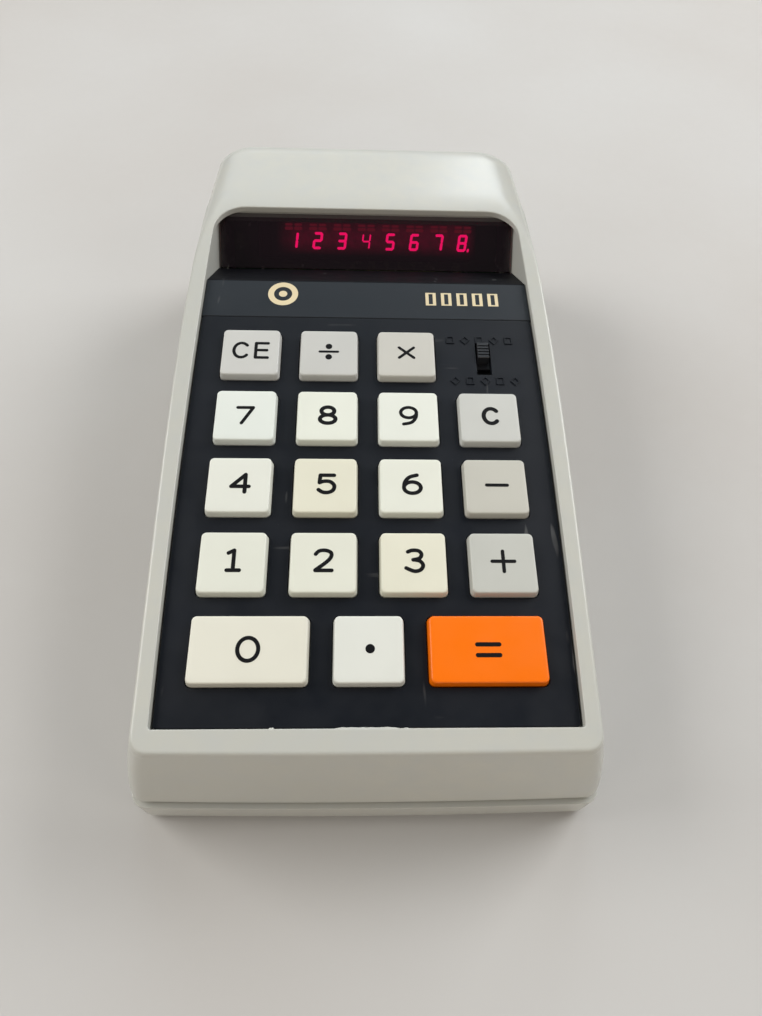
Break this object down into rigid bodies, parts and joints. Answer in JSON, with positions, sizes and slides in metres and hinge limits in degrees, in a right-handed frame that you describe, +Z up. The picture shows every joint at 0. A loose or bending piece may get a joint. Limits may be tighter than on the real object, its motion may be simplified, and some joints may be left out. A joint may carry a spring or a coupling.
{
  "type": "pocket calculator",
  "caption": "Wedge-shaped pocket calculator with square keys on a black faceplate and a red digit display in a valley under the rear hood.",
  "frame": {"origin": "centre of the footprint on the surface that the feet rest on", "axes": "+X to the user's right, +Y from the front of the keyboard towards the display, +Z up"},
  "size_m": [0.078, 0.1442, 0.0406],
  "materials": {
    "ivory_plastic": "satin moulded plastic, faintly yellowed",
    "black_plate": "satin black",
    "black_bezel": "satin black",
    "red_filter": "polished dark red filter",
    "white_key": "satin, faintly yellowed",
    "grey_key": "satin",
    "orange_key": "satin",
    "black_knob": "satin",
    "switch_black": "matt",
    "click_sheet": "matt film",
    "board_green": "lacquered board",
    "chip_black": "matt",
    "capacitor_sleeve": "shrink sleeve",
    "coil_copper": "lacquered wire",
    "digit_lens": "clear red lens over lit digits",
    "ribbon_grey": "film",
    "black_wire": "insulation",
    "red_wire": "insulation",
    "cell_jacket": "printed metal jacket",
    "screw_steel": "plated",
    "foot_rubber": "matt",
    "contact_metal": "plated spring metal"
  },
  "bodies": {
    "case": {"upper_case": "ivory_plastic", "lower_case": "ivory_plastic", "key_plate": "black_plate", "display_bezel": "black_bezel", "display_window": "red_filter", "mode_switch_body": "switch_black", "snap_dome_sheet": "click_sheet", "keyboard_board": "board_green", "main_board": "board_green", "calculator_chip": "chip_black", "digit_driver_chip": "chip_black", "segment_driver_chip": "chip_black", "storage_capacitor": "capacitor_sleeve", "converter_coil": "coil_copper", "display_board": "board_green", "digit_module": "digit_lens", "keyboard_ribbon": "ribbon_grey", "display_ribbon": "ribbon_grey", "power_switch_body": "switch_black", "adapter_jack": "switch_black", "battery_lead_negative": "black_wire", "battery_lead_positive": "red_wire", "battery_cell_1": "cell_jacket", "case_screw_1": "screw_steel", "foot_1": "foot_rubber", "battery_cell_2": "cell_jacket", "case_screw_2": "screw_steel", "foot_2": "foot_rubber", "battery_cell_3": "cell_jacket", "case_screw_3": "screw_steel", "foot_3": "foot_rubber", "battery_cell_4": "cell_jacket", "case_screw_4": "screw_steel", "foot_4": "foot_rubber", "contact_negative": "contact_metal", "contact_front_link": "contact_metal", "contact_positive": "contact_metal", "contact_rear_left": "contact_metal", "contact_rear_right": "contact_metal"},
    "mode_knob": {"mode_switch_knob": "black_knob"},
    "power_knob": {"power_switch_knob": "black_knob"},
    "door": {"battery_door": "ivory_plastic"},
    "key_ce": {"key_ce": "grey_key"},
    "key_divide": {"key_divide": "grey_key"},
    "key_multiply": {"key_multiply": "grey_key"},
    "key_7": {"key_7": "white_key"},
    "key_8": {"key_8": "white_key"},
    "key_9": {"key_9": "white_key"},
    "key_clear": {"key_clear": "grey_key"},
    "key_4": {"key_4": "white_key"},
    "key_5": {"key_5": "white_key"},
    "key_6": {"key_6": "white_key"},
    "key_minus": {"key_minus": "grey_key"},
    "key_1": {"key_1": "white_key"},
    "key_2": {"key_2": "white_key"},
    "key_3": {"key_3": "white_key"},
    "key_plus": {"key_plus": "grey_key"},
    "key_0": {"key_0": "white_key"},
    "key_point": {"key_point": "white_key"},
    "key_equals": {"key_equals": "orange_key"}
  },
  "joints": [
    {"name": "key_ce_press", "type": "slide", "parent": "case", "child": "key_ce", "axis": [0, 0.1305, -0.9914], "range_m": [0, 0.0009], "stiffness_N_per_m": 900},
    {"name": "key_divide_press", "type": "slide", "parent": "case", "child": "key_divide", "axis": [0, 0.1305, -0.9914], "range_m": [0, 0.0009], "stiffness_N_per_m": 900},
    {"name": "key_multiply_press", "type": "slide", "parent": "case", "child": "key_multiply", "axis": [0, 0.1305, -0.9914], "range_m": [0, 0.0009], "stiffness_N_per_m": 900},
    {"name": "key_7_press", "type": "slide", "parent": "case", "child": "key_7", "axis": [0, 0.1305, -0.9914], "range_m": [0, 0.0009], "stiffness_N_per_m": 900},
    {"name": "key_8_press", "type": "slide", "parent": "case", "child": "key_8", "axis": [0, 0.1305, -0.9914], "range_m": [0, 0.0009], "stiffness_N_per_m": 900},
    {"name": "key_9_press", "type": "slide", "parent": "case", "child": "key_9", "axis": [0, 0.1305, -0.9914], "range_m": [0, 0.0009], "stiffness_N_per_m": 900},
    {"name": "key_clear_press", "type": "slide", "parent": "case", "child": "key_clear", "axis": [0, 0.1305, -0.9914], "range_m": [0, 0.0009], "stiffness_N_per_m": 900},
    {"name": "key_4_press", "type": "slide", "parent": "case", "child": "key_4", "axis": [0, 0.1305, -0.9914], "range_m": [0, 0.0009], "stiffness_N_per_m": 900},
    {"name": "key_5_press", "type": "slide", "parent": "case", "child": "key_5", "axis": [0, 0.1305, -0.9914], "range_m": [0, 0.0009], "stiffness_N_per_m": 900},
    {"name": "key_6_press", "type": "slide", "parent": "case", "child": "key_6", "axis": [0, 0.1305, -0.9914], "range_m": [0, 0.0009], "stiffness_N_per_m": 900},
    {"name": "key_minus_press", "type": "slide", "parent": "case", "child": "key_minus", "axis": [0, 0.1305, -0.9914], "range_m": [0, 0.0009], "stiffness_N_per_m": 900},
    {"name": "key_1_press", "type": "slide", "parent": "case", "child": "key_1", "axis": [0, 0.1305, -0.9914], "range_m": [0, 0.0009], "stiffness_N_per_m": 900},
    {"name": "key_2_press", "type": "slide", "parent": "case", "child": "key_2", "axis": [0, 0.1305, -0.9914], "range_m": [0, 0.0009], "stiffness_N_per_m": 900},
    {"name": "key_3_press", "type": "slide", "parent": "case", "child": "key_3", "axis": [0, 0.1305, -0.9914], "range_m": [0, 0.0009], "stiffness_N_per_m": 900},
    {"name": "key_plus_press", "type": "slide", "parent": "case", "child": "key_plus", "axis": [0, 0.1305, -0.9914], "range_m": [0, 0.0009], "stiffness_N_per_m": 900},
    {"name": "key_0_press", "type": "slide", "parent": "case", "child": "key_0", "axis": [0, 0.1305, -0.9914], "range_m": [0, 0.0009], "stiffness_N_per_m": 900},
    {"name": "key_point_press", "type": "slide", "parent": "case", "child": "key_point", "axis": [0, 0.1305, -0.9914], "range_m": [0, 0.0009], "stiffness_N_per_m": 900},
    {"name": "key_equals_press", "type": "slide", "parent": "case", "child": "key_equals", "axis": [0, 0.1305, -0.9914], "range_m": [0, 0.0009], "stiffness_N_per_m": 900},
    {"name": "mode_switch_slide", "type": "slide", "parent": "case", "child": "mode_knob", "axis": [0, -0.9914, -0.1305], "range_m": [0, 0.0034]},
    {"name": "power_switch_slide", "type": "slide", "parent": "case", "child": "power_knob", "axis": [1, 0, 0], "range_m": [0, 0.0036]},
    {"name": "battery_door_slide", "type": "slide", "parent": "case", "child": "door", "axis": [0, 1, 0], "range_m": [0, 0.06]}
  ]
}
